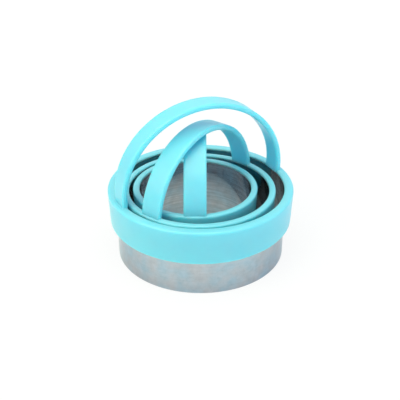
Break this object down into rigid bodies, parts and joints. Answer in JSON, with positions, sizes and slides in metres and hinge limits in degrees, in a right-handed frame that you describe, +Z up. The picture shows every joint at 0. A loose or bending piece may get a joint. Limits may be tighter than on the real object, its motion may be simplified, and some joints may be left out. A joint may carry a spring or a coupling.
{
  "type": "biscuit cutter set",
  "caption": "Nested round biscuit cutters: rolled steel rings with a moulded plastic rim and arched strap handle each, lifting off one another upwards.",
  "frame": {"origin": "on the table, under the middle of the large cutter", "axes": "+Z up along the axis of the rings; -Y towards the front, where the small handle's near foot is; +X to the right; the large handle points 27 degrees from +X towards +Y"},
  "size_m": [0.0928, 0.0928, 0.0805],
  "materials": {
    "large_blade": "satin, rolled stainless steel strip",
    "medium_blade": "satin, rolled stainless steel strip",
    "small_blade": "satin, rolled stainless steel strip",
    "large_grip": "glossy moulded aqua plastic",
    "medium_grip": "glossy moulded aqua plastic",
    "small_grip": "glossy moulded aqua plastic"
  },
  "bodies": {
    "small_cutter": {"small_blade": "small_blade", "small_grip": "small_grip"},
    "medium_cutter": {"medium_blade": "medium_blade", "medium_grip": "medium_grip"},
    "large_cutter": {"large_blade": "large_blade", "large_grip": "large_grip"}
  },
  "joints": [
    {"name": "medium_lift", "type": "slide", "parent": "small_cutter", "child": "medium_cutter", "axis": [0, 0, 1], "range_m": [0, 0.07]},
    {"name": "large_lift", "type": "slide", "parent": "medium_cutter", "child": "large_cutter", "axis": [0, 0, 1], "range_m": [0, 0.075]}
  ]
}
